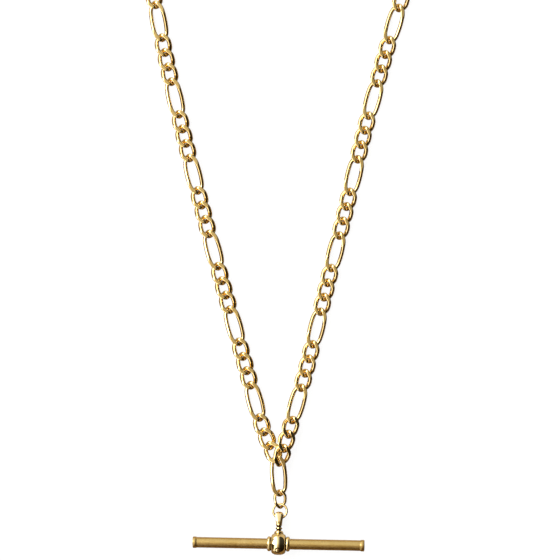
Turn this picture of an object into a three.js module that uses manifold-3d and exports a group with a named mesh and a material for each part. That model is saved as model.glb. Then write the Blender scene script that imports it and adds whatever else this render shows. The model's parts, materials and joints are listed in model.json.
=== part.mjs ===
// A gentleman's pocket watch chain: a double Albert in the fetter-and-three pattern, with a T-bar in the
// middle and a swivel clip at the end of each strand. It lies flat, as it is laid out on a table: both
// strands run up in a V from one long drop link, and the T-bar hangs below that link on a swivel.
// Millimetres, +Z up, +Y up the strands. The origin is on the table, at the middle of the footprint.
import * as THREE from "three";
import { mergeVertices } from "three/addons/utils/BufferGeometryUtils.js";
import { ParametricGeometry } from "three/addons/geometries/ParametricGeometry.js";
import Module from "manifold-3d";

const wasm = await Module();
wasm.setup();

// ---- Driving dimensions ----------------------------------------------------------------------------

// Chain links
const WIRE = 1.05; // diameter of the round wire of the long links
const CURB_WIRE = 1.15; // and of the short ones
const LINK_WIDTH = 4.5; // outside, across the chain
const LINK_THICKNESS = 1.9; // between the two hammered flats
const LINK_TWIST = THREE.MathUtils.degToRad(45); // each end is turned this far out of the link's middle
const SHORT_PITCH = 3.9; // what a curb link adds to the strand
const LONG_PITCH = 8.89; // what a fetter link adds to the strand
const END_ARC = 1.85; // length of the rounded end of a link, along the link
const FETTER_END_ARC = 2.4; // the long links of the strands are more pointed
const RUNNING_GAP = 0.1; // between two wires that hang in each other
const CURBS_PER_FETTER = 3;
const FETTERS_PER_STRAND = 6;
const LINK_SWING = 36; // degrees that a link turns each way about the wire it hangs on
// Where the strands meet, a neighbour stops a link sooner.
const SWING_LIMITS = {
  jump_ring: [-40, 50],
  small_curb_link: [-25, 36],
  left_curb_link_01: [-36, 2],
  left_curb_link_02: [-30, 20],
  left_curb_link_03: [-36, 30],
  right_curb_link_01: [0, 36],
  right_curb_link_02: [-12, 12],
  right_curb_link_03: [-15, 20],
  right_fetter_link_1: [-18, 10],
};

// T-bar
const BAR_LENGTH = 45;
const BAR_RADIUS = 1.38;
const CAP_RADIUS = 1.5;
const CAP_LENGTH = 1.0;
const COLLAR_RADIUS = 2.92;
const COLLAR_HALF_WIDTH = 1.85; // of the drum in the middle of the collar
const BEAD_RADIUS = 1.95; // of the ring moulding on each side of the drum
const BEAD_WIDTH = 1.1;
const RIVET_SEAT_DEPTH = 0.55; // in the collar, for the swivel shank's riveted end
const FIT_GAP = 0.06;
const MARK_RADIUS = 0.72; // of the ring groove round the cross pin's end, on the drum
const MARK_WIDTH = 0.2;
const MARK_DEPTH = 0.22;
const MARK_ANGLE = 31; // degrees from the top of the drum to the groove, towards the rivet

// Swivel between the T-bar and the chain
const SHANK_RADIUS = 0.5;
const SHANK_DROOP = 12.7; // degrees that the shank leans down, so that its eye rests on the table
const EYE_WIDTH = 2.2;
const EYE_HALF_HEIGHT = 1.3;
const EYE_START = 4.75; // from the middle of the collar to the near end of the eye
const EYE_END = 8.5;
const EYE_HOLE = [5.75, 7.75];
const EYE_HOLE_HALF_HEIGHT = 0.6;
const RING_RADIUS = 1.82; // of the jump ring, to the middle of its wire
const RING_WIRE = 0.55;
const RING_SLACK = 0.087; // between the ring and the small link, which cross at an angle

// Swivel clips
const CLIP_LENGTH = 14.6;
const CLIP_HALF_WIDTH = 4.4;
const CLIP_WALL = 1.55;
const CLIP_BASE_HALF_WIDTH = 1.7;
const CLIP_BASE_HEIGHT = 2.0;
const PIN_RADIUS = 0.5;
const PIN_HEAD_RADIUS = 1.0;
const PIN_HEAD_HEIGHT = 0.55;
const GATE_THICKNESS = 0.7;
const GATE_SLOT = 0.9;
const GATE_PIN_RADIUS = 0.32;
const GATE_OPENING = 28; // degrees that the gate swings in

const GOLD = 0xd9b25f;
const rad = THREE.MathUtils.degToRad;
const X = new THREE.Vector3(1, 0, 0);
const Y = new THREE.Vector3(0, 1, 0);
const Z = new THREE.Vector3(0, 0, 1);

// ---- Solids ----------------------------------------------------------------------------------------

// A closed geometry as a manifold-3d solid.
function solidOf(geometry) {
  const bare = geometry.clone();
  bare.deleteAttribute("normal");
  bare.deleteAttribute("uv");
  const merged = mergeVertices(bare, 1e-4);
  return new wasm.Manifold(
    new wasm.Mesh({
      numProp: 3,
      vertProperties: new Float32Array(merged.attributes.position.array),
      triVerts: new Uint32Array(merged.index.array),
    }),
  );
}

function geometryOf(solid) {
  const mesh = solid.getMesh();
  const geometry = new THREE.BufferGeometry();
  geometry.setAttribute("position", new THREE.BufferAttribute(mesh.vertProperties, 3));
  geometry.setIndex(new THREE.BufferAttribute(mesh.triVerts, 1));
  return geometry;
}

function join(...geometries) {
  return geometryOf(geometries.map(solidOf).reduce((whole, next) => whole.add(next)));
}

function cut(geometry, ...tools) {
  return geometryOf(tools.map(solidOf).reduce((whole, tool) => whole.subtract(tool), solidOf(geometry)));
}

function common(a, b) {
  return geometryOf(solidOf(a).intersect(solidOf(b)));
}

// A lathe body about Y from [radius, height] pairs that start and end on the axis.
function turned(profile, segments) {
  return new THREE.LatheGeometry(
    profile.map(([radius, height]) => new THREE.Vector2(radius, height)),
    segments,
  );
}

// A round bar along Y from one height to another.
function roundBar(radius, from, to, segments = 10) {
  const bar = new THREE.CylinderGeometry(radius, radius, to - from, segments);
  return bar.translate(0, (from + to) / 2, 0);
}

// ---- Links -----------------------------------------------------------------------------------------

// A link is an oval of round wire, with straight sides between two half-elliptical ends.
function linkShape(pitch, wire = WIRE, width = LINK_WIDTH, endArc = END_ARC) {
  return {
    wire,
    halfWidth: (width - wire) / 2,
    halfLength: (pitch + wire + RUNNING_GAP) / 2,
    endArc,
    halfThickness: LINK_THICKNESS / 2,
    twist: LINK_TWIST,
  };
}

// The wire's centreline and its outward normal, a share of the way round from the middle of the +X side.
function ovalAt(link, share) {
  const side = link.halfLength - link.endArc;
  const arc = (Math.PI / 4) * (link.halfWidth + link.endArc);
  const turn = 4 * (share % 1);
  const quarter = Math.floor(turn);
  const along = turn - quarter;
  const run = (quarter % 2 ? 1 - along : along) * (side + arc);
  const angle = (Math.max(run - side, 0) / arc) * (Math.PI / 2);
  const normal = new THREE.Vector2(
    link.endArc * Math.cos(angle),
    link.halfWidth * Math.sin(angle),
  ).normalize();
  const right = quarter === 0 || quarter === 3 ? 1 : -1;
  const up = quarter < 2 ? 1 : -1;
  return {
    x: right * link.halfWidth * Math.cos(angle),
    y: up * (Math.min(run, side) + link.endArc * Math.sin(angle)),
    normalX: right * normal.x,
    normalY: up * normal.y,
  };
}

// The flat oval is twisted about its long axis and hammered flat on both faces.
function twistedLink(link, around, across) {
  const surface = (share, section, target) => {
    const rim = ovalAt(link, share);
    const out = (link.wire / 2) * Math.cos(2 * Math.PI * section);
    const lift = (link.wire / 2) * Math.sin(2 * Math.PI * section);
    const x = rim.x + out * rim.normalX;
    const y = rim.y + out * rim.normalY;
    const twist = (link.twist * y) / link.halfLength;
    const z = x * Math.sin(twist) + lift * Math.cos(twist);
    target.set(
      x * Math.cos(twist) - lift * Math.sin(twist),
      y,
      THREE.MathUtils.clamp(z, -link.halfThickness, link.halfThickness),
    );
  };
  return new ParametricGeometry(surface, around, across);
}

const CURB = linkShape(SHORT_PITCH, CURB_WIRE);
const FETTER = linkShape(LONG_PITCH, WIRE, LINK_WIDTH, FETTER_END_ARC);
const DROP = linkShape(LONG_PITCH);
const SMALL = { ...linkShape(3.5, 0.78, 3.5, 1.6), halfThickness: 0.75 };

const curbGeometry = () => twistedLink(CURB, 16, 6);
const fetterGeometry = () => twistedLink(FETTER, 20, 6);
const dropGeometry = () => twistedLink(DROP, 20, 6);
const smallLinkGeometry = () => twistedLink(SMALL, 16, 6);

function jumpRingGeometry() {
  return new THREE.TorusGeometry(RING_RADIUS, RING_WIRE / 2, 6, 20);
}

// ---- T-bar and swivel ------------------------------------------------------------------------------

// The swivel's shank passes through this hole, which runs across the bar at the droop angle.
function shankHole() {
  return roundBar(SHANK_RADIUS + FIT_GAP, -4, 4, 10).rotateX(-rad(SHANK_DROOP));
}

function barGeometry() {
  const half = BAR_LENGTH / 2;
  const edge = 0.2;
  const profile = [
    [0, -half],
    [CAP_RADIUS - edge, -half],
    [CAP_RADIUS, -half + edge],
    [CAP_RADIUS, -half + CAP_LENGTH],
    [BAR_RADIUS, -half + CAP_LENGTH + edge],
  ];
  const mirrored = profile.map(([radius, height]) => [radius, -height]).reverse();
  const bar = turned([...profile, ...mirrored], 12).rotateZ(-Math.PI / 2);
  return cut(bar, shankHole());
}

// The collar is a drum between two ring mouldings, bored for the bar, with a seat for the shank's rivet.
function collarGeometry() {
  const bore = BAR_RADIUS + FIT_GAP;
  const end = COLLAR_HALF_WIDTH + BEAD_WIDTH;
  const half = [
    [bore, end],
    [BEAD_RADIUS - 0.25, end],
    [BEAD_RADIUS, end - 0.3],
    [BEAD_RADIUS, COLLAR_HALF_WIDTH + 0.35],
    [BEAD_RADIUS - 0.25, COLLAR_HALF_WIDTH + 0.1],
    [COLLAR_RADIUS - 0.75, COLLAR_HALF_WIDTH],
    [COLLAR_RADIUS - 0.2, COLLAR_HALF_WIDTH * 0.72],
    [COLLAR_RADIUS, COLLAR_HALF_WIDTH * 0.3],
  ];
  const other = half.map(([radius, height]) => [radius, -height]).reverse();
  const drum = turned([...half, ...other, half[0]], 16);
  const seat = roundBar(1.0, -4, -COLLAR_RADIUS + RIVET_SEAT_DEPTH, 10).rotateX(-rad(SHANK_DROOP));
  return cut(drum.scale(1, -1, 1).rotateZ(-Math.PI / 2), shankHole(), seat, pinGroove());
}

// A ring groove in the drum: it shows where the cross pin ends.
function pinGroove() {
  const outer = roundBar(MARK_RADIUS, COLLAR_RADIUS - MARK_DEPTH, 4, 12);
  const inner = roundBar(MARK_RADIUS - MARK_WIDTH, 0, 5, 12);
  return cut(outer, inner).rotateX(rad(90 + MARK_ANGLE));
}

// The swivel's shank, riveted over in the collar, with a bead, a neck and a strap eye.
function swivelGeometry() {
  const seat = -COLLAR_RADIUS + RIVET_SEAT_DEPTH - 0.06;
  const shank = turned(
    [
      [0, seat - 0.4],
      [0.5, seat - 0.4],
      [0.85, seat - 0.15],
      [0.85, seat],
      [SHANK_RADIUS, seat],
      [SHANK_RADIUS, COLLAR_RADIUS + 0.05],
      [1.1, COLLAR_RADIUS + 0.1],
      [1.0, COLLAR_RADIUS + 0.45],
      [0.66, EYE_START - 0.35],
      [0.66, EYE_START - 0.05],
      [0.9, EYE_START + 0.1],
      [0.9, EYE_START + 0.6],
      [0, EYE_START + 0.6],
    ],
    10,
  );
  return join(shank, eyeGeometry());
}

// An upright loop, open along X for the jump ring and rounded off at its far end.
function eyeGeometry() {
  const loop = stadium(EYE_START, EYE_END, EYE_HALF_HEIGHT);
  loop.holes.push(stadium(EYE_HOLE[0], EYE_HOLE[1], EYE_HOLE_HALF_HEIGHT));
  const slab = new THREE.ExtrudeGeometry(loop, { depth: 4, bevelEnabled: false, curveSegments: 5 });
  const bullet = turned(
    [
      [0, EYE_START - 0.1],
      [0.85, EYE_START - 0.1],
      [0.92, EYE_START + 1],
      [EYE_WIDTH / 2, EYE_START + 1.7],
      [EYE_WIDTH / 2, EYE_END - 0.9],
      [0.9, EYE_END - 0.35],
      [0.5, EYE_END - 0.06],
      [0, EYE_END],
    ],
    12,
  );
  return common(slab.translate(0, 0, -2).rotateY(Math.PI / 2), bullet.scale(1, 1, 1.6));
}

// A slot outline along Y with round ends.
function stadium(from, to, halfHeight) {
  const outline = new THREE.Shape();
  outline.moveTo(halfHeight, from + halfHeight);
  outline.lineTo(halfHeight, to - halfHeight);
  outline.absarc(0, to - halfHeight, halfHeight, 0, Math.PI, false);
  outline.lineTo(-halfHeight, from + halfHeight);
  outline.absarc(0, from + halfHeight, halfHeight, Math.PI, 2 * Math.PI, false);
  return outline;
}

// ---- Swivel clips ----------------------------------------------------------------------------------

// Heights along the clip, from the middle of its bow link.
const BOW_TOP = CURB.halfLength + CURB_WIRE / 2;
const CLIP_BASE = BOW_TOP + 0.55;
const CLIP_FLOOR = CLIP_BASE + CLIP_BASE_HEIGHT; // inner end of the clip's opening
const GATE_PIVOT = new THREE.Vector3(CLIP_HALF_WIDTH - CLIP_WALL / 2, CLIP_BASE + 5.0, 0);
const GATE_TOP = CLIP_BASE + 10.6;

// The bow: one curb link with a headed pin at its far end, on which the clip turns.
function bowGeometry() {
  const pin = turned(
    [
      [0, CURB.halfLength - 0.2],
      [PIN_RADIUS, CURB.halfLength - 0.2],
      [PIN_RADIUS, BOW_TOP - 0.05],
      [0.85, BOW_TOP],
      [0.85, CLIP_BASE - 0.1],
      [PIN_RADIUS, CLIP_BASE - 0.1],
      [PIN_RADIUS, CLIP_FLOOR + 0.1],
      [PIN_HEAD_RADIUS, CLIP_FLOOR + 0.1],
      [PIN_HEAD_RADIUS * 0.8, CLIP_FLOOR + PIN_HEAD_HEIGHT],
      [0, CLIP_FLOOR + PIN_HEAD_HEIGHT + 0.1],
    ],
    10,
  );
  return join(curbGeometry(), pin);
}

// Half of a clip outline: a neck that opens into straight sides, then a half-ellipse over the nose.
function clipOutline(baseHalfWidth, base, halfWidth, top) {
  const shoulder = CLIP_BASE + 5.6;
  const crown = top - halfWidth * 1.25;
  const outline = new THREE.Shape();
  outline.moveTo(baseHalfWidth, base);
  outline.bezierCurveTo(
    baseHalfWidth,
    base + 1.6,
    halfWidth,
    shoulder - 2.6,
    halfWidth,
    shoulder,
  );
  outline.lineTo(halfWidth, crown);
  outline.absellipse(0, crown, halfWidth, top - crown, 0, Math.PI, false);
  outline.lineTo(-halfWidth, shoulder);
  outline.bezierCurveTo(
    -halfWidth,
    shoulder - 2.6,
    -baseHalfWidth,
    base + 1.6,
    -baseHalfWidth,
    base,
  );
  outline.closePath();
  return outline;
}

function plate(outline, thickness, curveSegments = 6) {
  const settings = { depth: thickness, bevelEnabled: false, curveSegments };
  return new THREE.ExtrudeGeometry(outline, settings).translate(0, 0, -thickness / 2);
}

function polygon(points) {
  return new THREE.Shape(points.map(([x, y]) => new THREE.Vector2(x, y)));
}

// The clip's hook: its side is open where the gate closes it.
function clipBodyGeometry() {
  const top = CLIP_BASE + CLIP_LENGTH;
  const outer = clipOutline(CLIP_BASE_HALF_WIDTH, CLIP_BASE, CLIP_HALF_WIDTH, top);
  const inner = CLIP_HALF_WIDTH - CLIP_WALL;
  const hollow = clipOutline(1.15, CLIP_FLOOR, inner, top - CLIP_WALL);
  const mouth = polygon([
    [inner - 1, GATE_PIVOT.y + 0.75],
    [CLIP_HALF_WIDTH + 1, GATE_PIVOT.y + 0.75],
    [CLIP_HALF_WIDTH + 1, GATE_TOP - 0.6],
    [inner - 1, GATE_TOP + 0.7],
  ]);
  const slot = polygon([
    [inner - 0.6, GATE_PIVOT.y - 1.0],
    [CLIP_HALF_WIDTH + 1, GATE_PIVOT.y - 1.0],
    [CLIP_HALF_WIDTH + 1, GATE_PIVOT.y + 1.0],
    [inner - 0.6, GATE_PIVOT.y + 1.0],
  ]);
  const pinHole = roundBar(GATE_PIN_RADIUS + FIT_GAP, -2, 2, 8).rotateX(Math.PI / 2);
  return cut(
    plate(outer, LINK_THICKNESS),
    plate(hollow, LINK_THICKNESS + 2),
    plate(mouth, LINK_THICKNESS + 2),
    plate(slot, GATE_SLOT),
    pinHole.translate(GATE_PIVOT.x, GATE_PIVOT.y, 0),
    roundBar(PIN_RADIUS + FIT_GAP, CLIP_BASE - 1, CLIP_FLOOR + 1, 10),
  );
}

// The gate: a blade with a thumb lug, on a pin of its own, drawn about its pivot.
function gateGeometry() {
  const half = CLIP_WALL / 2 - 0.05;
  const top = GATE_TOP - GATE_PIVOT.y;
  const blade = new THREE.Shape();
  blade.moveTo(half, 0);
  blade.lineTo(half, 1.4);
  blade.quadraticCurveTo(half + 0.95, 1.6, half + 0.95, 2.4);
  blade.quadraticCurveTo(half + 0.9, 3.2, half, 3.4);
  blade.lineTo(half, top - 0.62);
  blade.lineTo(-half, top + 0.32);
  blade.lineTo(-half, 0);
  blade.absarc(0, 0, half, Math.PI, 2 * Math.PI, false);
  const pin = roundBar(GATE_PIN_RADIUS, -LINK_THICKNESS / 2, LINK_THICKNESS / 2, 8);
  return join(plate(blade, GATE_THICKNESS, 5), pin.rotateX(Math.PI / 2));
}

// ---- Placing ---------------------------------------------------------------------------------------

const watchChain = new THREE.Group();
const joints = []; // each hinge, in watchChain's own frame

// A place is a point and a turn; along(place) is the way that its long axis points.
function placeAt(origin, turn) {
  return { origin: origin.clone(), turn: turn.clone() };
}

function along(place, direction = Y) {
  return direction.clone().applyQuaternion(place.turn);
}

function pointIn(place, point) {
  return point.clone().applyQuaternion(place.turn).add(place.origin);
}

function gold(roughness) {
  return new THREE.MeshStandardMaterial({ color: GOLD, metalness: 1, roughness });
}

function addPiece(name, geometry, place, roughness = 0.2) {
  const mesh = new THREE.Mesh(geometry, gold(roughness));
  mesh.name = name;
  mesh.position.copy(place.origin);
  mesh.quaternion.copy(place.turn);
  watchChain.add(mesh);
  return mesh;
}

function addHinge(name, parent, child, anchor, axis, range) {
  joints.push({ name, parent, child, anchor, axis: axis.normalize(), range });
}

// The turn of a link that lies with this heading (from +Y towards -X), climb and roll, in degrees.
function lie(heading, climb = 0, roll = 0) {
  return new THREE.Quaternion()
    .setFromAxisAngle(Z, rad(heading))
    .multiply(new THREE.Quaternion().setFromAxisAngle(X, rad(climb)))
    .multiply(new THREE.Quaternion().setFromAxisAngle(Y, rad(roll)));
}

// Where a link lies when its near end hangs in the far end of the link before it.
function hungFrom(before, shape, turn) {
  const place = placeAt(new THREE.Vector3(), turn);
  const pull = along(before.place).add(along(place)).normalize();
  const spacing = (before.shape.wire + shape.wire) / 2 + RUNNING_GAP;
  const nearEnd = before.farEnd.clone().addScaledVector(pull, -spacing);
  place.origin.copy(nearEnd).addScaledVector(along(place), shape.halfLength);
  return place;
}

// A link hangs with its far end at a given height: its climb is found by a few trials.
function hungAtHeight(before, shape, { heading, height, roll }) {
  let climb = 0;
  let place = null;
  for (let trial = 0; trial < 6; trial += 1) {
    place = hungFrom(before, shape, lie(heading, climb, roll));
    const farEnd = place.origin.z + along(place).z * shape.halfLength;
    climb += THREE.MathUtils.radToDeg((height - farEnd) / (2 * shape.halfLength));
  }
  return place;
}

// The way that the wire runs at a link's near or far end.
function wireAxis(place, shape, end) {
  const twist = end * shape.twist;
  return along(place, new THREE.Vector3(Math.cos(twist), 0, Math.sin(twist)));
}

function linkAt(name, shape, place) {
  return {
    name,
    shape,
    place,
    nearEnd: pointIn(place, Y.clone().multiplyScalar(-shape.halfLength)),
    farEnd: pointIn(place, Y.clone().multiplyScalar(shape.halfLength)),
  };
}

// A link turns about the wire that it hangs on, and the next one about its own wire, by turns. The sign
// changes every second link, so that joints driven the same way fold the strand instead of coiling it.
function hingeLink(before, link, index) {
  const sign = index % 4 < 2 ? 1 : -1;
  const anchor = index % 2 ? link.nearEnd : before.farEnd;
  const axis = index % 2 ? wireAxis(link.place, link.shape, -1) : wireAxis(before.place, before.shape, 1);
  const range = SWING_LIMITS[link.name] ?? [-LINK_SWING, LINK_SWING];
  addHinge(`${link.name}_hinge`, before.name, link.name, anchor, axis.multiplyScalar(sign), range);
}

const twoDigits = (number) => String(number).padStart(2, "0");

// ---- Assembly --------------------------------------------------------------------------------------

const BAR_YAW = -0.87; // degrees; the bar isn't laid quite square
const BAR_TIP = -3.7; // the bar rests on its collar and its left end

function addTBar() {
  const turn = lie(BAR_YAW, 0, BAR_TIP);
  const place = placeAt(new THREE.Vector3(0, 0, COLLAR_RADIUS + 0.035), turn);
  addPiece("t_bar_rod", barGeometry(), place, 0.25);
  addPiece("t_bar_collar", collarGeometry(), place, 0.2);
  return place;
}

function addSwivel(bar) {
  const turn = bar.turn.clone().multiply(lie(0, -SHANK_DROOP));
  const place = placeAt(bar.origin, turn);
  addPiece("t_bar_swivel", swivelGeometry(), place);
  addHinge("t_bar_swivel_turn", "t_bar", "t_bar_swivel", place.origin, along(place), "continuous");
  return place;
}

// The jump ring lies through the swivel's eye, not quite pulled tight.
function addJumpRing(swivel) {
  const wire = pointIn(swivel, new THREE.Vector3(0.08, EYE_HOLE[1] - 0.9, 0));
  const place = placeAt(wire, lie(-4, -8, -10));
  place.origin.addScaledVector(along(place), RING_RADIUS);
  addPiece("jump_ring", jumpRingGeometry(), place);
  addHinge("jump_ring_hinge", "t_bar_swivel", "jump_ring", wire, along(place, X), SWING_LIMITS.jump_ring);
  const shape = { wire: RING_WIRE, twist: 0 };
  const farEnd = pointIn(place, Y.clone().multiplyScalar(RING_RADIUS - RING_SLACK));
  return { name: "jump_ring", shape, place, farEnd };
}

function addLink(name, geometry, shape, before, lay, index) {
  const link = linkAt(name, shape, hungAtHeight(before, shape, lay));
  addPiece(name, geometry, link.place);
  hingeLink(before, link, index);
  return link;
}

// One strand, from the drop link to its clip. lay(index) says how each link lies.
function addStrand(side, first, lay) {
  let before = first;
  let index = 0;
  for (let fetter = 1; fetter <= FETTERS_PER_STRAND; fetter += 1) {
    for (let curb = 1; curb <= CURBS_PER_FETTER; curb += 1) {
      const number = twoDigits((fetter - 1) * CURBS_PER_FETTER + curb);
      const name = `${side}_curb_link_${number}`;
      before = addLink(name, curbGeometry(), CURB, before, lay(index), index);
      index += 1;
    }
    const name = `${side}_fetter_link_${fetter}`;
    before = addLink(name, fetterGeometry(), FETTER, before, lay(index), index);
    index += 1;
  }
  addClip(side, before, lay(index), index);
}

function addClip(side, before, lay, index) {
  const bow = addLink(`${side}_clip_bow`, bowGeometry(), CURB, before, lay, index);
  const place = bow.place;
  const body = `${side}_clip_body`;
  addPiece(body, clipBodyGeometry(), place, 0.22);
  addHinge(`clip_${side}_swivel_turn`, bow.name, body, place.origin, along(place), "continuous");
  const gate = `${side}_clip_gate`;
  const pivot = pointIn(place, GATE_PIVOT);
  addPiece(gate, gateGeometry(), placeAt(pivot, place.turn), 0.22);
  addHinge(`clip_${side}_gate_press`, body, gate, pivot, along(place, Z), [0, GATE_OPENING]);
}

// How the strands lie: headings at the start, then at each fetter link; links between are evenly turned.
const ON_TABLE = LINK_THICKNESS / 2;
const LEFT_HEADINGS = [29.2, 15, 15.7, 15.2, 14.2, 13.1, 11];
const RIGHT_HEADINGS = [-17.3, -15.7, -13.6, -14, -13.2, -15, -16.3];
// The right strand crosses over the left one, so its first links are raised and rolled.
const RIGHT_RAISED = [
  { height: 2.72, roll: 11.9 },
  { height: 2.17, roll: 9.5 },
  { height: 1.03, roll: 7.3 },
];

function headingAt(headings, index) {
  const position = (index + 1) / (CURBS_PER_FETTER + 1);
  const knot = Math.floor(position);
  return THREE.MathUtils.lerp(headings[knot], headings[knot + 1] ?? headings[knot], position - knot);
}

const leftLay = (index) => ({
  heading: headingAt(LEFT_HEADINGS, index),
  height: ON_TABLE,
  roll: 0,
});

const rightLay = (index) => ({
  heading: headingAt(RIGHT_HEADINGS, index),
  height: ON_TABLE,
  roll: 0,
  ...RIGHT_RAISED[index],
});

const bar = addTBar();
const swivel = addSwivel(bar);
const ring = addJumpRing(swivel);
const smallLay = { heading: 2, height: 1.106, roll: 7.4 };
const small = addLink("small_curb_link", smallLinkGeometry(), SMALL, ring, smallLay, 1);
const dropLay = { heading: 4, height: 1.78, roll: 0 };
const drop = addLink("drop_fetter_link", dropGeometry(), DROP, small, dropLay, 0);

// Both strands hang side by side in the drop link's far end.
function besideInDrop(offset, slack) {
  const farEnd = drop.farEnd.clone().addScaledVector(wireAxis(drop.place, DROP, 1), offset);
  return { ...drop, farEnd: farEnd.addScaledVector(along(drop.place), -slack) };
}

addStrand("left", besideInDrop(-0.497, 0.05), leftLay);
addStrand("right", besideInDrop(0.72, 0.91), rightLay);

// ---- The origin goes to the middle of the footprint, on the table -----------------------------------

const footprint = new THREE.Box3().setFromObject(watchChain, true);
const middle = footprint.getCenter(new THREE.Vector3());
watchChain.position.set(-middle.x, -middle.y, -footprint.min.z);
watchChain.userData.joints = joints;
watchChain.userData.clipHeights = { base: CLIP_BASE, floor: CLIP_FLOOR, top: CLIP_BASE + CLIP_LENGTH };

const group = new THREE.Group();
group.add(watchChain);

export default group;
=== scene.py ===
"""A double Albert pocket watch chain, laid flat.

Every CAD node gets a fine mesh and a procedural gold, with a floor, a studio world, a light and a camera.
"""

import json
import math

import bmesh
import bpy
import numpy as np
from mathutils import Matrix, Vector


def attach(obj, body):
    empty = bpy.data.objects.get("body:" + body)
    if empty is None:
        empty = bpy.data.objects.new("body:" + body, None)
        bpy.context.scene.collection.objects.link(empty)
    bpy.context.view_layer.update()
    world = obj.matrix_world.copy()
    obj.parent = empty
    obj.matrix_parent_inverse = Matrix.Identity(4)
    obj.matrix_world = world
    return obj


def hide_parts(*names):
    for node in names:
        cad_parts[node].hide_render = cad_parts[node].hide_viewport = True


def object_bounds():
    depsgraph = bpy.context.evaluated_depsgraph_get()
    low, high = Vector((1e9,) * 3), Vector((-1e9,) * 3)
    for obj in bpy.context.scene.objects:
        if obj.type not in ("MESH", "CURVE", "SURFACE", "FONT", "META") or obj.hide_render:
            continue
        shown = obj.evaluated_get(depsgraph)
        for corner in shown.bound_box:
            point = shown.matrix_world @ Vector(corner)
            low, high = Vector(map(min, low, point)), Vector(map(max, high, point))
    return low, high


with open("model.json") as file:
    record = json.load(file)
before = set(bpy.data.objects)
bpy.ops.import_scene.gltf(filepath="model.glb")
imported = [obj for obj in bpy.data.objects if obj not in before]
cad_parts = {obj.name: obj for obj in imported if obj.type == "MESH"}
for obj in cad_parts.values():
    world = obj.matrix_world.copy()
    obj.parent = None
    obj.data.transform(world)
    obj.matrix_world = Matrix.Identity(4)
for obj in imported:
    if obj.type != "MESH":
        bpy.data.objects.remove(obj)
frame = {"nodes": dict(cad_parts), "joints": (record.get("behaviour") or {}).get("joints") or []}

CAD_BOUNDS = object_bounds()
MM = 0.001

# ---- Dimensions, in millimetres and degrees, as in the CAD model -------------------------------------

GAP = 0.1  # play where one link hangs in the next
CURB = {"wire": 1.15, "width": 4.5, "pitch": 3.9, "end_arc": 1.85, "half_thickness": 0.95}
FETTER = {"wire": 1.05, "width": 4.5, "pitch": 8.89, "end_arc": 2.4, "half_thickness": 0.95}
DROP = {**FETTER, "end_arc": 1.85}
SMALL = {"wire": 0.78, "width": 3.5, "pitch": 3.5, "end_arc": 1.6, "half_thickness": 0.75}
TWIST = math.radians(45)
RING_RADIUS = 1.82
RING_WIRE = 0.55
BAR_LENGTH = 45
COLLAR_RADIUS = 2.92
COLLAR_HALF_WIDTH = 1.85  # of the barrel between the ring mouldings
SHANK_DROOP = 12.7  # how far the shank leans down, so that its eye rests on the table
RIVET_SEAT_DEPTH = 0.55
MARK_RADIUS = 0.72  # of the groove round the end of the cross pin
MARK_DEPTH = 0.22
MARK_ANGLE = 31  # from the top of the barrel to the groove, towards the rivet
CREASE_ANGLE = 38  # sharper edges than this stay sharp


# ---- Mesh helpers ------------------------------------------------------------------------------------


def unit(v):
    v = np.asarray(v, float)
    return v / np.linalg.norm(v)


def mesh_object(name, vertices, faces):
    """A new object whose faces all point out."""
    mesh = bpy.data.meshes.new(name)
    mesh.from_pydata([tuple(v) for v in vertices], [], faces)
    mesh.validate()
    work = bmesh.new()
    work.from_mesh(mesh)
    bmesh.ops.recalc_face_normals(work, faces=work.faces)
    work.to_mesh(mesh)
    work.free()
    piece = bpy.data.objects.new(name, mesh)
    bpy.context.scene.collection.objects.link(piece)
    return piece


def settle(piece):
    """Applies a piece's modifiers to its mesh."""
    graph = bpy.context.evaluated_depsgraph_get()
    mesh = bpy.data.meshes.new_from_object(piece.evaluated_get(graph))
    piece.modifiers.clear()
    piece.data = mesh


def carve(piece, *tools):
    """Cuts each tool's (vertices, faces) out of the piece."""
    cutters = [mesh_object("cutter", *tool) for tool in tools]
    for cutter in cutters:
        cut = piece.modifiers.new("carve", "BOOLEAN")
        cut.operation = "DIFFERENCE"
        cut.solver = "EXACT"
        cut.object = cutter
    settle(piece)
    for cutter in cutters:
        bpy.data.objects.remove(cutter)


def round_edges(piece, width):
    bevel = piece.modifiers.new("round", "BEVEL")
    bevel.width = width
    bevel.segments = 3
    bevel.limit_method = "ANGLE"
    bevel.angle_limit = math.radians(35)
    settle(piece)


def grid_faces(rows, columns, closed_rows=True):
    """The faces between rows of points. A row is a ring, and the last row can join the first."""
    faces = []
    for i in range(rows if closed_rows else rows - 1):
        here, there = i * columns, ((i + 1) % rows) * columns
        for j in range(columns):
            beside = (j + 1) % columns
            faces.append((here + j, there + j, there + beside, here + beside))
    return faces


def smooth_profile(points, steps=6):
    """A rounded polyline through (radius, height, size of the corner) points. The size can be left out."""
    usual_size, most_of_a_side = 0.12, 0.48
    out = [points[0]]
    for before, corner, after in zip(points, points[1:-1], points[2:]):
        size = corner[2] if len(corner) > 2 else usual_size
        a, p, b = (np.array(q[:2], float) for q in (before, corner, after))
        la, lb = np.linalg.norm(a - p), np.linalg.norm(b - p)
        size = min(size, la * most_of_a_side, lb * most_of_a_side)
        start, end = p + (a - p) / la * size, p + (b - p) / lb * size
        for step in range(steps + 1):
            t = step / steps
            q = (1 - t) ** 2 * start + 2 * t * (1 - t) * p + t * t * end
            out.append(tuple(q))
    out.append(points[-1])
    return [tuple(q[:2]) for q in out]


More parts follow.
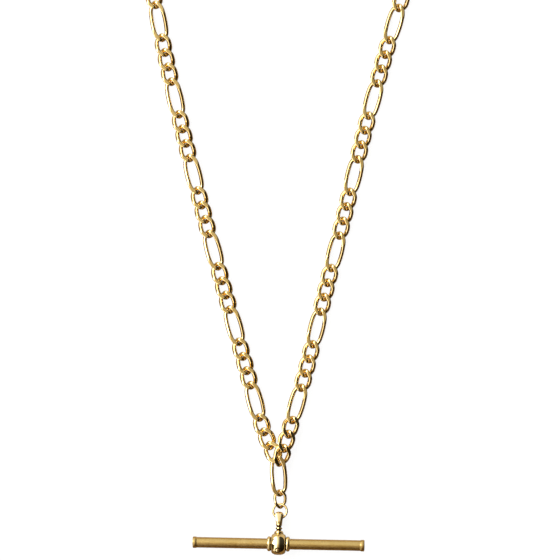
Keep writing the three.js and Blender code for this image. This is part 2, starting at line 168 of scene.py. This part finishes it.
def lathe(profile, segments=64):
    """A body turned about Y, from (radius, height) points that start and end on the axis."""
    vertices = []
    rings = [p for p in profile if p[0] > 1e-6]
    for radius, height in rings:
        for k in range(segments):
            a = 2 * math.pi * k / segments
            vertices.append((radius * math.cos(a), height, radius * math.sin(a)))
    faces = grid_faces(len(rings), segments, closed_rows=False)
    for end, at in ((0, profile[0][1]), (len(rings) - 1, profile[-1][1])):
        vertices.append((0, at, 0))
        tip = len(vertices) - 1
        for k in range(segments):
            a, b = end * segments + k, end * segments + (k + 1) % segments
            faces.append((a, b, tip) if end == 0 else (b, a, tip))
    return vertices, faces


def rounded_section(across, sharpness=0.5):
    """Points round a soft-cornered box.

    Each is (share of the way from the inner to the outer edge, share of the half thickness).
    """
    points = []
    for k in range(across):
        a = 2 * math.pi * k / across
        c, s = math.cos(a), math.sin(a)
        swell = math.copysign(abs(c) ** sharpness, c), math.copysign(abs(s) ** sharpness, s)
        points.append((0.5 + 0.5 * swell[0], swell[1]))
    return points


def combine(*bodies):
    """Several (vertices, faces) as one."""
    vertices, faces = [], []
    for body_vertices, body_faces in bodies:
        base = len(vertices)
        vertices += [tuple(v) for v in body_vertices]
        faces += [tuple(base + i for i in face) for face in body_faces]
    return vertices, faces


# ---- Where the CAD nodes are ---------------------------------------------------------------------------


def node_points(node):
    """The corners of a CAD node, each once, in metres."""
    mesh = frame["nodes"][node].data
    points = np.empty(len(mesh.vertices) * 3, np.float32)
    mesh.vertices.foreach_get("co", points)
    return np.unique(np.round(points.reshape(-1, 3).astype(float), 8), axis=0)


def main_axes(node):
    """A node's middle and its principal directions, from the longest to the shortest."""
    points = node_points(node)
    middle = points.mean(0)
    spread, directions = np.linalg.eigh(np.cov((points - middle).T))
    order = np.argsort(-spread)
    return middle, [directions[:, k] for k in order]


def joint(name):
    return next(j for j in frame["joints"] if j["name"] == name)


def place_from(origin, x, y):
    """A place whose columns are its own X, Y and Z axes, for shapes in millimetres."""
    y = unit(y)
    x = unit(np.asarray(x, float) - np.dot(x, y) * y)
    z = np.cross(x, y)
    return np.asarray(origin, float), np.array([x, y, z]).T


def lay(piece, place):
    """Moves a piece drawn in millimetres to its place in the frame, in metres."""
    origin, axes = place
    matrix = Matrix([[*(axes[row] * MM), origin[row]] for row in range(3)] + [[0, 0, 0, 1]])
    piece.data.transform(matrix)


def link_place(node):
    """A link looks the same turned half round any of its axes, so the signs of its axes don't matter."""
    middle, (along, across, _) = main_axes(node)
    return place_from(middle, across, along)


# ---- Materials -----------------------------------------------------------------------------------------


def feed(links, socket, value):
    """Links another node's output to a socket, or sets the socket to a plain value."""
    if isinstance(value, bpy.types.NodeSocket):
        links.new(value, socket)
    else:
        socket.default_value = value


def gold(name, light, deep, roughness, brushed=0.0):
    """Metal that wanders between two colours, with faint spots of duller polish and fine scratches."""
    material = bpy.data.materials.new(name)
    material.use_nodes = True
    tree = material.node_tree
    nodes, links = tree.nodes, tree.links
    nodes.clear()
    out = nodes.new("ShaderNodeOutputMaterial")
    shader = nodes.new("ShaderNodeBsdfPrincipled")
    shader.inputs["Metallic"].default_value = 1.0
    links.new(shader.outputs[0], out.inputs[0])
    where = nodes.new("ShaderNodeTexCoord")

    def noise(scale, detail, rough=0.5):
        texture = nodes.new("ShaderNodeTexNoise")
        texture.inputs["Scale"].default_value = scale
        texture.inputs["Detail"].default_value = detail
        texture.inputs["Roughness"].default_value = rough
        links.new(where.outputs["Object"], texture.inputs["Vector"])
        return texture.outputs["Fac"]

    def ramp(source, low, high, at=(0.3, 0.7)):
        node = nodes.new("ShaderNodeValToRGB")
        node.color_ramp.elements[0].position, node.color_ramp.elements[1].position = at
        node.color_ramp.elements[0].color = (*low, 1)
        node.color_ramp.elements[1].color = (*high, 1)
        links.new(source, node.inputs[0])
        return node.outputs[0]

    cloud, spot, scratch = 420, 1500, 2600  # noise scales, in cells per metre
    smoothest, dullest = roughness * 0.8, roughness * 1.35
    links.new(ramp(noise(cloud, 3), deep, light), shader.inputs["Base Color"])
    spots = ramp(noise(spot, 4, 0.6), (smoothest,) * 3, (dullest,) * 3)
    links.new(spots, shader.inputs["Roughness"])
    bump = nodes.new("ShaderNodeBump")
    bump.inputs["Strength"].default_value = 0.04 + brushed
    bump.inputs["Distance"].default_value = 0.02 * MM
    links.new(noise(scratch, 5, 0.65), bump.inputs["Height"])
    links.new(bump.outputs[0], shader.inputs["Normal"])
    return material


LINK_GOLD = gold("link_gold", (0.92, 0.73, 0.36), (0.86, 0.64, 0.27), 0.12)
BAR_GOLD = gold("bar_gold", (0.60, 0.44, 0.18), (0.55, 0.385, 0.135), 0.16, 0.05)
POLISHED_GOLD = gold("polished_gold", (0.94, 0.78, 0.44), (0.88, 0.70, 0.36), 0.08)
RING_GOLD = gold("ring_gold", (0.86, 0.65, 0.32), (0.78, 0.56, 0.24), 0.18)
CLIP_GOLD = gold("clip_gold", (0.90, 0.71, 0.35), (0.83, 0.61, 0.26), 0.16, 0.05)
# A near-black metal: painted shade for the collar's grooves and the swivel's neck.
PAINTED_SHADE = gold("painted_shade", (0.06, 0.03, 0.012), (0.03, 0.015, 0.006), 0.5)


def recess(piece, inside):
    """The faces, by number, whose middle passes a test on (x, y, z) in the piece's own millimetres."""
    return [face.index for face in piece.data.polygons if inside(*face.center)]


def painted_shade(piece, faces):
    """Gives these faces a near-black metal as painted shade in grooves, as the piece's second material."""
    piece.data.materials.append(PAINTED_SHADE)
    for index in faces:
        piece.data.polygons[index].material_index = 1


def finish_piece(piece, place, material, body, node):
    """Lays a piece in its place, shades it smooth up to its creases and ties it to its CAD node."""
    lay(piece, place)
    mesh = piece.data
    mesh.polygons.foreach_set("use_smooth", [True] * len(mesh.polygons))
    mesh.set_sharp_from_angle(angle=math.radians(CREASE_ANGLE))
    mesh.materials.clear()
    mesh.materials.append(material)
    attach(piece, body)
    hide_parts(node)


# ---- Links -----------------------------------------------------------------------------------------------


def soft_clamp(z, limit, softness=0.05):
    """Hammers a round section flat at +-limit, with a slightly rounded edge."""
    size = np.abs(z)
    over = np.logaddexp(0, (size - limit) / softness) * softness
    return np.sign(z) * (size - over)


def half_length_of(link):
    """From the middle of a link to the middle of the wire at its end."""
    return (link["pitch"] + link["wire"] + GAP) / 2


def oval_at(link, share):
    """A point of the wire's middle line, a share of the way round, and the way out of the link there."""
    half_width = (link["width"] - link["wire"]) / 2
    half_length = half_length_of(link)
    side = half_length - link["end_arc"]
    arc = math.pi / 4 * (half_width + link["end_arc"])
    turn = 4 * (share % 1)
    quarter = int(turn)
    part = turn - quarter
    run = (1 - part if quarter % 2 else part) * (side + arc)
    angle = max(run - side, 0) / arc * math.pi / 2
    normal = unit((link["end_arc"] * math.cos(angle), half_width * math.sin(angle)))
    right = 1 if quarter in (0, 3) else -1
    up = 1 if quarter < 2 else -1
    x = right * half_width * math.cos(angle)
    y = up * (min(run, side) + link["end_arc"] * math.sin(angle))
    return x, y, right * normal[0], up * normal[1]


def link_shape(link, around, across=24):
    """Round wire bent to an oval, twisted along its length and hammered flat."""
    half_length = half_length_of(link)
    section = np.arange(across) / across * 2 * math.pi
    rows = []
    for k in range(around):
        x, y, nx, ny = oval_at(link, k / around)
        out = link["wire"] / 2 * np.cos(section)
        lift = link["wire"] / 2 * np.sin(section)
        px, py = x + out * nx, y + out * ny
        twist = TWIST * py / half_length
        pz = soft_clamp(px * np.sin(twist) + lift * np.cos(twist), link["half_thickness"])
        rows.append(np.stack([px * np.cos(twist) - lift * np.sin(twist), py, pz], 1))
    return np.concatenate(rows), grid_faces(around, across)


CURB_SHAPE = link_shape(CURB, 72)
FETTER_SHAPE = link_shape(FETTER, 96)
DROP_SHAPE = link_shape(DROP, 96)
SMALL_SHAPE = link_shape(SMALL, 72, 20)


def add_links():
    for node in sorted(frame["nodes"]):
        if node == "drop_fetter_link":
            vertices, faces = DROP_SHAPE
        elif "fetter_link" in node:
            vertices, faces = FETTER_SHAPE
        elif node == "small_curb_link":
            vertices, faces = SMALL_SHAPE
        elif "curb_link" in node:
            vertices, faces = CURB_SHAPE
        else:
            continue
        piece = mesh_object(node + "_fine", vertices, faces)
        finish_piece(piece, link_place(node), LINK_GOLD, node, node)


def torus(major, minor, around=96, across=20):
    vertices = []
    for i in range(around):
        a = 2 * math.pi * i / around
        for j in range(across):
            b = 2 * math.pi * j / across
            r = major + minor * math.cos(b)
            vertices.append((r * math.cos(a), r * math.sin(a), minor * math.sin(b)))
    return vertices, grid_faces(around, across)


def add_jump_ring():
    middle, (a, b, _) = main_axes("jump_ring")
    piece = mesh_object("jump_ring_fine", *torus(RING_RADIUS, RING_WIRE / 2))
    finish_piece(piece, place_from(middle, a, b), RING_GOLD, "jump_ring", "jump_ring")


# ---- T-bar and swivel --------------------------------------------------------------------------------------

SHANK = joint("t_bar_swivel_turn")
CENTRE = np.array(SHANK["pos_m"])
BAR_AXIS = main_axes("t_bar_rod")[1][0]
BAR_AXIS = BAR_AXIS * np.sign(BAR_AXIS[0])


def bar_place():
    """Y along the bar to the right; Z up."""
    y = BAR_AXIS
    x = np.cross(y, (0, 0, 1))
    return place_from(CENTRE, x, y)


def shank_place():
    return place_from(CENTRE, BAR_AXIS, SHANK["axis"])


def collar_place():
    """X along the bar; Z up from the shank by its droop."""
    shank = np.array(SHANK["axis"])
    up = unit(np.cross(BAR_AXIS, shank))
    droop = math.radians(SHANK_DROOP)
    return place_from(CENTRE, BAR_AXIS, shank * math.cos(droop) + up * math.sin(droop))


def add_bar():
    half = BAR_LENGTH / 2
    end = [
        (0, -half),
        (1.42, -half, 0.1),
        (1.5, -half + 0.12, 0.1),
        (1.5, -half + 0.85, 0.14),
        (1.38, -half + 1.0, 0.06),
        (1.38, -half + 1.3, 0.05),
    ]
    other = [(p[0], -p[1], *p[2:]) for p in reversed(end)]
    piece = mesh_object("t_bar_rod_fine", *lathe(smooth_profile(end + other), 72))
    finish_piece(piece, bar_place(), BAR_GOLD, "t_bar", "t_bar_rod")


def turned_to(shape, direction):
    """Turns a shape drawn about Y so that its axis points this way."""
    axes = place_from((0, 0, 0), (1, 0, 0), direction)[1]
    vertices, faces = shape
    return np.asarray(vertices, float) @ axes.T, faces


def collar_profile():
    """A barrel between two ring mouldings."""
    foot, roundness, steps = 2.05, 1.15, 36
    moulding = [
        (0, -2.95),
        (1.6, -2.95, 0.1),
        (1.95, -2.72, 0.3),
        (1.95, -2.15, 0.3),
        (1.6, -1.9, 0.08),
        (foot, -COLLAR_HALF_WIDTH),
    ]
    near = smooth_profile(moulding, 8)
    far = [(radius, -height) for radius, height in reversed(near)]
    swell = COLLAR_RADIUS - foot
    barrel = []
    for k in range(1, steps):
        a = math.pi * (k / steps - 0.5)
        barrel.append((foot + swell * math.cos(a) ** roundness, COLLAR_HALF_WIDTH * math.sin(a)))
    return near + barrel + far


def add_collar():
    """The collar, with the rivet's seat below, and near-black painted shade in the groove round the cross
    pin's end and in the valleys beside the ring mouldings.
    """
    groove_half_width, groove_floor = 0.16, COLLAR_RADIUS - MARK_DEPTH
    valley, valley_radius = 1.87, 1.9  # between the barrel and each ring moulding
    vertices, faces = lathe(collar_profile(), 96)
    about_x = [(-y, x, z) for x, y, z in vertices]  # the bar runs along X here, as in the CAD
    piece = mesh_object("t_bar_collar_fine", about_x, faces)
    droop, mark = math.radians(SHANK_DROOP), math.radians(MARK_ANGLE)
    seat_floor = RIVET_SEAT_DEPTH - COLLAR_RADIUS
    seat = lathe([(0, -4), (1.0, -4), (1.0, seat_floor), (0, seat_floor)], 48)
    groove = square_ring(MARK_RADIUS, groove_half_width, groove_floor, 4.0)
    pin_axis = np.array((0, -math.sin(mark), math.cos(mark)))
    carve(
        piece,
        turned_to(seat, (0, math.cos(droop), -math.sin(droop))),
        turned_to(groove, pin_axis),
    )

    def in_painted_shade(x, y, z):
        """Where shade is painted: in the groove round the pin's end, or in the valley beside a ring moulding.
        """
        depth = np.dot((x, y, z), pin_axis)
        off_axis = np.linalg.norm(np.cross((x, y, z), pin_axis))
        in_groove = abs(off_axis - MARK_RADIUS) < groove_half_width + 0.01 and 2.4 < depth < 2.78
        in_valley = abs(abs(x) - valley) < 0.12 and math.hypot(y, z) < valley_radius
        return in_groove or in_valley

    # The faces that get near-black painted shade.
    faces = recess(piece, in_painted_shade)
    finish_piece(piece, collar_place(), POLISHED_GOLD, "t_bar", "t_bar_collar")
    painted_shade(piece, faces)


def square_ring(radius, half_width, low, high, segments=48):
    """A square-section ring about Y, from one height to another."""
    corners = [(-1, low), (1, low), (1, high), (-1, high)]
    vertices = []
    for k in range(segments):
        a = 2 * math.pi * k / segments
        for side, height in corners:
            r = radius + side * half_width
            vertices.append((r * math.cos(a), height, r * math.sin(a)))
    return vertices, grid_faces(segments, len(corners))


def add_swivel():
    """The riveted shank with its bead, its neck painted near-black as shade, and the eye for the jump ring.
    """
    top = COLLAR_RADIUS
    profile = [
        (0, -2.78),
        (0.6, -2.76, 0.1),
        (0.85, -2.5, 0.1),
        (0.85, -2.43, 0.03),
        (0.5, -2.43, 0.03),
        (0.5, top - 0.2, 0.03),
        (1.25, top - 0.15, 0.1),
        (1.1, top + 0.35, 0.25),
        (0.6, top + 0.6, 0.05),
        (0.6, top + 0.9, 0.05),
        (0.84, top + 1.05, 0.08),
        (0.84, top + 1.3, 0.08),
        (0.6, top + 1.45, 0.05),
        (0.6, top + 1.8, 0.05),
        (0.78, top + 1.95, 0.08),
        (0.8, top + 2.5, 0.1),
        (0, top + 2.6),
    ]
    shank = lathe(smooth_profile(profile), 48)
    piece = mesh_object("t_bar_swivel_fine", *combine(shank, eye_shape()))
    # The neck's faces get near-black painted shade.
    neck_low, neck_high, neck_radius = top + 0.5, top + 1.9, 0.7
    faces = recess(piece, lambda x, y, z: neck_low < y < neck_high and math.hypot(x, z) < neck_radius)
    finish_piece(piece, shank_place(), POLISHED_GOLD, "t_bar_swivel", "t_bar_swivel")
    painted_shade(piece, faces)


def stadium_point(start, end, half, share):
    """A point on a slot outline in (y, z), a share of the way round from its far end."""
    straight = end - start - 2 * half
    arc = math.pi * half
    run = (share % 1) * 2 * (straight + arc)
    if run < arc / 2:
        a = run / half
        return end - half + half * math.cos(a), half * math.sin(a)
    run -= arc / 2
    if run < straight:
        return end - half - run, half
    run -= straight
    if run < arc:
        a = run / half
        return start + half - half * math.sin(a), half * math.cos(a)
    run -= arc
    if run < straight:
        return start + half + run, -half
    a = (run - straight) / half
    return end - half + half * math.sin(a), -half * math.cos(a)


# The swivel's eye: heights along the shank, and half of its width at each.
EYE_HEIGHTS = [4.75, 5.75, 6.6, 7.3, 7.9, 8.3, 8.5]
EYE_HALF_WIDTHS = [0.72, 0.76, 0.85, 1.05, 1.05, 0.8, 0.45]


def eye_shape(around=72, across=28):
    """A soft-cornered loop between an outer and an inner slot outline."""
    outer, inner = (4.75, 8.5, 1.3), (5.75, 7.75, 0.6)
    section = rounded_section(across, 0.55)
    rows = []
    for i in range(around):
        oy, oz = stadium_point(*outer, i / around)
        iy, iz = stadium_point(*inner, i / around)
        for mix, lift in section:
            y, z = iy + (oy - iy) * mix, iz + (oz - iz) * mix
            half_width = np.interp(y, EYE_HEIGHTS, EYE_HALF_WIDTHS)
            rows.append((half_width * lift, y, z))
    return rows, grid_faces(around, across)


# ---- Swivel clips --------------------------------------------------------------------------------------

# Heights are from the middle of the bow link.
BOW_TOP = (CURB["pitch"] + GAP) / 2 + CURB["wire"]
CLIP_BASE = BOW_TOP + 0.55
CLIP_FLOOR = CLIP_BASE + 2.0
CLIP_TOP = CLIP_BASE + 14.6
SHOULDER = CLIP_BASE + 5.6
CLIP_HALF_WIDTH = 4.4
CLIP_WALL = 1.55
PIVOT = (CLIP_HALF_WIDTH - CLIP_WALL / 2, CLIP_BASE + 5.0)
GATE_TOP = CLIP_BASE + 10.6
HOOK_HALF_THICKNESS = 0.95
GATE_HALF_THICKNESS = 0.35
SLOT_HALF_THICKNESS = 0.45  # of the slot that the gate's foot turns in
PIN_BORE_RADIUS = 0.56
RIVET_HOLE_RADIUS = 0.38


def clip_place(side):
    """Drawn about the middle of the bow link, Y along the clip."""
    turn = joint(f"clip_{side}_swivel_turn")
    up = main_axes(f"{side}_clip_body")[1][2]
    up = up * np.sign(up[2])
    return place_from(turn["pos_m"], np.cross(turn["axis"], up), turn["axis"])


def add_bow(side, place):
    """The strand's last link, with the headed pin that the clip turns on."""
    pin = [
        (0, BOW_TOP - 0.6),
        (0.5, BOW_TOP - 0.6),
        (0.55, BOW_TOP - 0.1, 0.05),
        (0.85, BOW_TOP, 0.08),
        (0.85, CLIP_BASE - 0.1, 0.1),
        (0.5, CLIP_BASE - 0.1, 0.02),
        (0.5, CLIP_FLOOR + 0.1, 0.02),
        (1.0, CLIP_FLOOR + 0.1, 0.08),
        (0.92, CLIP_FLOOR + 0.4, 0.2),
        (0.5, CLIP_FLOOR + 0.64, 0.3),
        (0, CLIP_FLOOR + 0.65),
    ]
    node = f"{side}_clip_bow"
    piece = mesh_object(node + "_fine", *combine(CURB_SHAPE, lathe(smooth_profile(pin), 40)))
    finish_piece(piece, place, LINK_GOLD, node, node)


def bezier(a, b, c, d, t):
    a, b, c, d = (np.array(p, float) for p in (a, b, c, d))
    return (1 - t) ** 3 * a + 3 * t * (1 - t) ** 2 * b + 3 * t * t * (1 - t) * c + t**3 * d


def clip_side(base_half_width, base, half_width, top, share):
    """Half of the clip's outline, from its base (0) over the shoulder to the middle of its nose (1)."""
    crown = top - half_width * 1.25
    if share < 0.4:  # the curve from the base to the shoulder
        foot, knee = (base_half_width, base), (half_width, SHOULDER)
        return bezier(foot, (foot[0], base + 1.6), (knee[0], SHOULDER - 2.6), knee, share / 0.4)
    if share < 0.6:  # the straight side
        return np.array((half_width, SHOULDER + (crown - SHOULDER) * (share - 0.4) / 0.2))
    angle = (share - 0.6) / 0.4 * math.pi / 2  # the nose
    return np.array((half_width * math.cos(angle), crown + (top - crown) * math.sin(angle)))


def clip_pair(share):
    """The outer and the inner edge of the hook, a share of the way up its side."""
    outer = clip_side(1.7, CLIP_BASE, CLIP_HALF_WIDTH, CLIP_TOP, share)
    inner = clip_side(1.15, CLIP_FLOOR, CLIP_HALF_WIDTH - CLIP_WALL, CLIP_TOP - CLIP_WALL, share)
    return outer, inner


def share_at(height):
    """The share at which the hook's inner edge reaches a height."""
    shares = np.linspace(0, 1, 2001)
    heights = [clip_pair(share)[1][1] for share in shares]
    return float(np.interp(height, heights, shares))


def clip_stations():
    """(outer, inner) pairs from the lip of the mouth, round the nose and base and up to the pivot."""
    foot_height = PIVOT[1] + 0.75
    lip = share_at(GATE_TOP + 0.7)
    foot = share_at(foot_height)
    pairs = [clip_pair(share) for share in np.linspace(lip, 1, 26)]
    pairs[0] = (np.array((CLIP_HALF_WIDTH, GATE_TOP - 0.6)), pairs[0][1])
    left = [clip_pair(share) for share in np.linspace(1, 0, 60)[1:]]
    pairs += [(outer * (-1, 1), inner * (-1, 1)) for outer, inner in left]
    left_base, right_base = pairs[-1], clip_pair(0)
    for t in np.linspace(0, 1, 10)[1:-1]:
        pairs.append(tuple(a * (1 - t) + b * t for a, b in zip(left_base, right_base)))
    pairs += [clip_pair(share) for share in np.linspace(0, foot, 30)]
    pairs[-1] = tuple(np.array((edge[0], foot_height)) for edge in pairs[-1])
    return pairs


def ribbon(pairs, half_thickness, across=28):
    """A closed bar between pairs of edge points, with soft corners and flat ends."""
    section = rounded_section(across)
    vertices = []
    for outer, inner in pairs:
        for mix, lift in section:
            x, y = inner + (outer - inner) * mix
            vertices.append((x, y, half_thickness * lift))
    faces = grid_faces(len(pairs), across, closed_rows=False)
    last = (len(pairs) - 1) * across
    faces += [tuple(range(across)), tuple(last + k for k in range(across))]
    return vertices, faces


def box(low, high):
    xs, ys, zs = zip(low, high)
    vertices = [(x, y, z) for x in xs for y in ys for z in zs]
    faces = [(0, 1, 3, 2), (4, 6, 7, 5), (0, 4, 5, 1), (2, 3, 7, 6), (0, 2, 6, 4), (1, 5, 7, 3)]
    return vertices, faces


def rod(radius, low, high):
    """A plain cylinder about Y, to cut a hole with."""
    return lathe([(0, low), (radius, low), (radius, high), (0, high)], 32)


def add_hook(side, place):
    """The hook, with the slot for its gate's foot, the bore for the bow's pin and the rivet's hole."""
    node = f"{side}_clip_body"
    piece = mesh_object(node + "_fine", *ribbon(clip_stations(), HOOK_HALF_THICKNESS))
    slot = box(
        (PIVOT[0] - 1.4, PIVOT[1] - 1.0, -SLOT_HALF_THICKNESS),
        (PIVOT[0] + 2, PIVOT[1] + 1.0, SLOT_HALF_THICKNESS),
    )
    bore = rod(PIN_BORE_RADIUS, CLIP_BASE - 1, CLIP_FLOOR + 1)
    hole, faces = turned_to(rod(RIVET_HOLE_RADIUS, -2, 2), (0, 0, 1))
    carve(piece, slot, bore, (hole + (*PIVOT, 0), faces))
    finish_piece(piece, place, CLIP_GOLD, node, node)


def prism(outline, half_thickness):
    """A plate of this (x, y) outline, as thick below its middle as above."""
    count = len(outline)
    vertices = [(x, y, z) for z in (-half_thickness, half_thickness) for x, y in outline]
    faces = [tuple(range(count)), tuple(count + k for k in range(count))]
    faces += [(k, (k + 1) % count, count + (k + 1) % count, count + k) for k in range(count)]
    return vertices, faces


def gate_outline():
    """A blade that stands on a round foot, with a thumb lug on its outer side."""
    half = CLIP_WALL / 2 - 0.05
    top = GATE_TOP - PIVOT[1]
    points = [(half, 0), (half, 1.4)]
    for k in range(1, 13):
        a = math.pi * k / 13
        points.append((half + 0.93 * math.sin(a) ** 0.8, 2.4 - math.cos(a)))
    points += [(half, 3.4), (half, top - 0.62), (-half, top + 0.32), (-half, 0)]
    for k in range(1, 16):
        a = math.pi * (1 + k / 16)
        points.append((half * math.cos(a), half * math.sin(a)))
    return points


def add_gate(side, place):
    """The gate, drawn about its pivot, and the rivet that it turns on."""
    origin, axes = place
    at_pivot = origin + axes @ np.array((*PIVOT, 0)) * MM, axes
    node = f"{side}_clip_gate"
    piece = mesh_object(node + "_fine", *prism(gate_outline(), GATE_HALF_THICKNESS))
    round_edges(piece, width=0.09)
    pin = mesh_object(node + "_pin", *gate_pin())
    finish_piece(piece, at_pivot, CLIP_GOLD, node, node)
    finish_piece(pin, at_pivot, BAR_GOLD, node, node)


def gate_pin():
    """A domed rivet across the hook."""
    profile = [(0, -0.95), (0.25, -0.94, 0.1), (0.32, -0.85, 0.05)]
    other = [(p[0], -p[1], *p[2:]) for p in reversed(profile)]
    vertices, faces = lathe(smooth_profile(profile + other), 24)
    return [(x, -z, y) for x, y, z in vertices], faces


def add_clips():
    for side in ("left", "right"):
        place = clip_place(side)
        add_bow(side, place)
        add_hook(side, place)
        add_gate(side, place)


# ---- Floor, world, light, camera -----------------------------------------------------------------------


def add_floor():
    """White and mostly clear to the camera, clear from below, and dim brown in the gold's reflections."""
    half_size, veil = 2.0, 0.15
    vertices = [(x * half_size, y * half_size, 0) for x, y in ((-1, -1), (1, -1), (1, 1), (-1, 1))]
    floor = mesh_object("floor", vertices, [(0, 1, 2, 3)])
    material = bpy.data.materials.new("floor_white")
    material.use_nodes = True
    nodes, links = material.node_tree.nodes, material.node_tree.links
    nodes.clear()

    def matte(colour, glow, strength):
        shader = nodes.new("ShaderNodeBsdfPrincipled")
        shader.inputs["Base Color"].default_value = (*colour, 1)
        shader.inputs["Roughness"].default_value = 0.95
        shader.inputs["Specular IOR Level"].default_value = 0.0
        shader.inputs["Emission Color"].default_value = (*glow, 1)
        feed(links, shader.inputs["Emission Strength"], strength)
        return shader

    def mixed(share, first, second):
        node = nodes.new("ShaderNodeMixShader")
        feed(links, node.inputs[0], share)
        links.new(first.outputs[0], node.inputs[1])
        links.new(second.outputs[0], node.inputs[2])
        return node

    # In reflections the floor glows towards the far end (+Y) and is nearly dark towards the near end.
    way = nodes.new("ShaderNodeSeparateXYZ")
    links.new(nodes.new("ShaderNodeNewGeometry").outputs["Incoming"], way.inputs[0])
    glow = nodes.new("ShaderNodeMapRange")
    for socket, value in (("From Min", -0.7), ("From Max", 0.1), ("To Min", 0.5), ("To Max", 0.02)):
        glow.inputs[socket].default_value = value
    links.new(way.outputs[1], glow.inputs["Value"])

    seen = matte((0.8, 0.8, 0.8), (1, 1, 1), 0.5)
    reflected = matte((0.2, 0.125, 0.055), (1, 0.9, 0.72), glow.outputs[0])
    clear = nodes.new("ShaderNodeBsdfTransparent")

    # Links that swing below the floor stay in sight through it.
    is_camera_ray = nodes.new("ShaderNodeLightPath").outputs["Is Camera Ray"]
    is_from_below = nodes.new("ShaderNodeNewGeometry").outputs["Backfacing"]
    from_above = mixed(is_camera_ray, reflected, mixed(veil, clear, seen))
    out = nodes.new("ShaderNodeOutputMaterial")
    links.new(mixed(is_from_below, from_above, clear).outputs[0], out.inputs[0])
    floor.data.materials.append(material)
    floor.location.z = CAD_BOUNDS[0].z


def grey(level):
    return (level, level, level)


# How bright the world is along the chain (Y) and across it (X), from -1 to 1 by direction.
TENT_ALONG = [
    (-0.95, (0.11, 0.06, 0.02)),
    (-0.7, (0.19, 0.12, 0.05)),
    (-0.45, (0.36, 0.28, 0.17)),
    (-0.22, (0.36, 0.28, 0.17)),
    (0.02, (0.64, 0.56, 0.41)),
    (0.3, (0.84, 0.79, 0.68)),
    (0.6, (0.95, 0.92, 0.85)),
]
TENT_ACROSS = [
    (-0.9, grey(0.08)),
    (-0.7, grey(0.5)),
    (-0.5, grey(2.0)),
    (-0.32, grey(2.0)),
    (-0.17, grey(1.2)),
    (-0.02, grey(1.05)),
    (0.1, grey(0.25)),
    (0.24, grey(0.05)),
]
LEFT_PANEL = [(-0.66, grey(0)), (-0.56, grey(2)), (-0.34, grey(2)), (-0.15, grey(0))]
X, Y = 0, 1
MIX_FACTOR, MIX_A, MIX_B, MIX_RESULT = 0, 6, 7, 2  # the colour sockets of a Mix node


def add_world():
    """A soft tent, bright at the far end and on the left, and brown at the near end and on the right.

    It lights the gold and the floor. The camera sees plain white in its place.
    """
    world = bpy.data.worlds.new("studio")
    bpy.context.scene.world = world
    world.use_nodes = True
    nodes, links = world.node_tree.nodes, world.node_tree.links
    where = nodes.new("ShaderNodeTexCoord")
    split = nodes.new("ShaderNodeSeparateXYZ")
    links.new(where.outputs["Generated"], split.inputs[0])

    def ramp(axis, stops):
        to_share = nodes.new("ShaderNodeMapRange")
        to_share.inputs["From Min"].default_value = -1
        to_share.inputs["From Max"].default_value = 1
        links.new(split.outputs[axis], to_share.inputs["Value"])
        node = nodes.new("ShaderNodeValToRGB")
        elements = node.color_ramp.elements
        while len(elements) < len(stops):
            elements.new(0.5)
        for element, (at, colour) in zip(elements, stops):
            element.position = (at + 1) / 2
            element.color = (*colour, 1)
        links.new(to_share.outputs[0], node.inputs[0])
        return node.outputs[0]

    def blended(kind, share, first, second):
        node = nodes.new("ShaderNodeMix")
        node.data_type = "RGBA"
        node.blend_type = kind
        feed(links, node.inputs[MIX_FACTOR], share)
        feed(links, node.inputs[MIX_A], first)
        feed(links, node.inputs[MIX_B], second)
        return node.outputs[MIX_RESULT]

    tent = blended("MULTIPLY", 1.0, ramp(Y, TENT_ALONG), ramp(X, TENT_ACROSS))
    lit = blended("ADD", 1.0, tent, ramp(X, LEFT_PANEL))
    is_camera_ray = nodes.new("ShaderNodeLightPath").outputs["Is Camera Ray"]
    links.new(blended("MIX", is_camera_ray, lit, (1, 1, 1, 1)), nodes["Background"].inputs[0])
    nodes["Background"].inputs[1].default_value = 1.0


def add_key_light():
    """A soft light from the left, aimed at the middle of the frame."""
    at = Vector((-0.5, 0.12, 0.42))
    data = bpy.data.lights.new("key", "AREA")
    data.energy = 3.0
    data.size = 0.4
    light = bpy.data.objects.new("key", data)
    bpy.context.scene.collection.objects.link(light)
    light.location = at
    light.rotation_mode = "QUATERNION"
    light.rotation_quaternion = (-at).to_track_quat("-Z", "Y")


def add_camera():
    """Straight down, from far enough that raised parts hardly shift."""
    field = 0.1468  # metres across, at the height of the chain
    chain_height = 0.002
    from_centre = (0.0004, 0.0691)
    data = bpy.data.cameras.new("camera")
    data.lens = 200
    data.sensor_width = 36
    distance = field / 2 / (data.sensor_width / 2 / data.lens)
    camera = bpy.data.objects.new("camera", data)
    bpy.context.scene.collection.objects.link(camera)
    x, y = CENTRE[0] + from_centre[0], CENTRE[1] + from_centre[1]
    camera.matrix_world = Matrix.Translation(Vector((x, y, chain_height + distance)))
    data.clip_start, data.clip_end = 0.01, 10
    bpy.context.scene.camera = camera


add_links()
add_jump_ring()
add_bar()
add_collar()
add_swivel()
add_clips()
add_floor()
add_world()
add_key_light()
add_camera()
bpy.context.scene.view_settings.view_transform = "Standard"

bpy.context.view_layer.update()
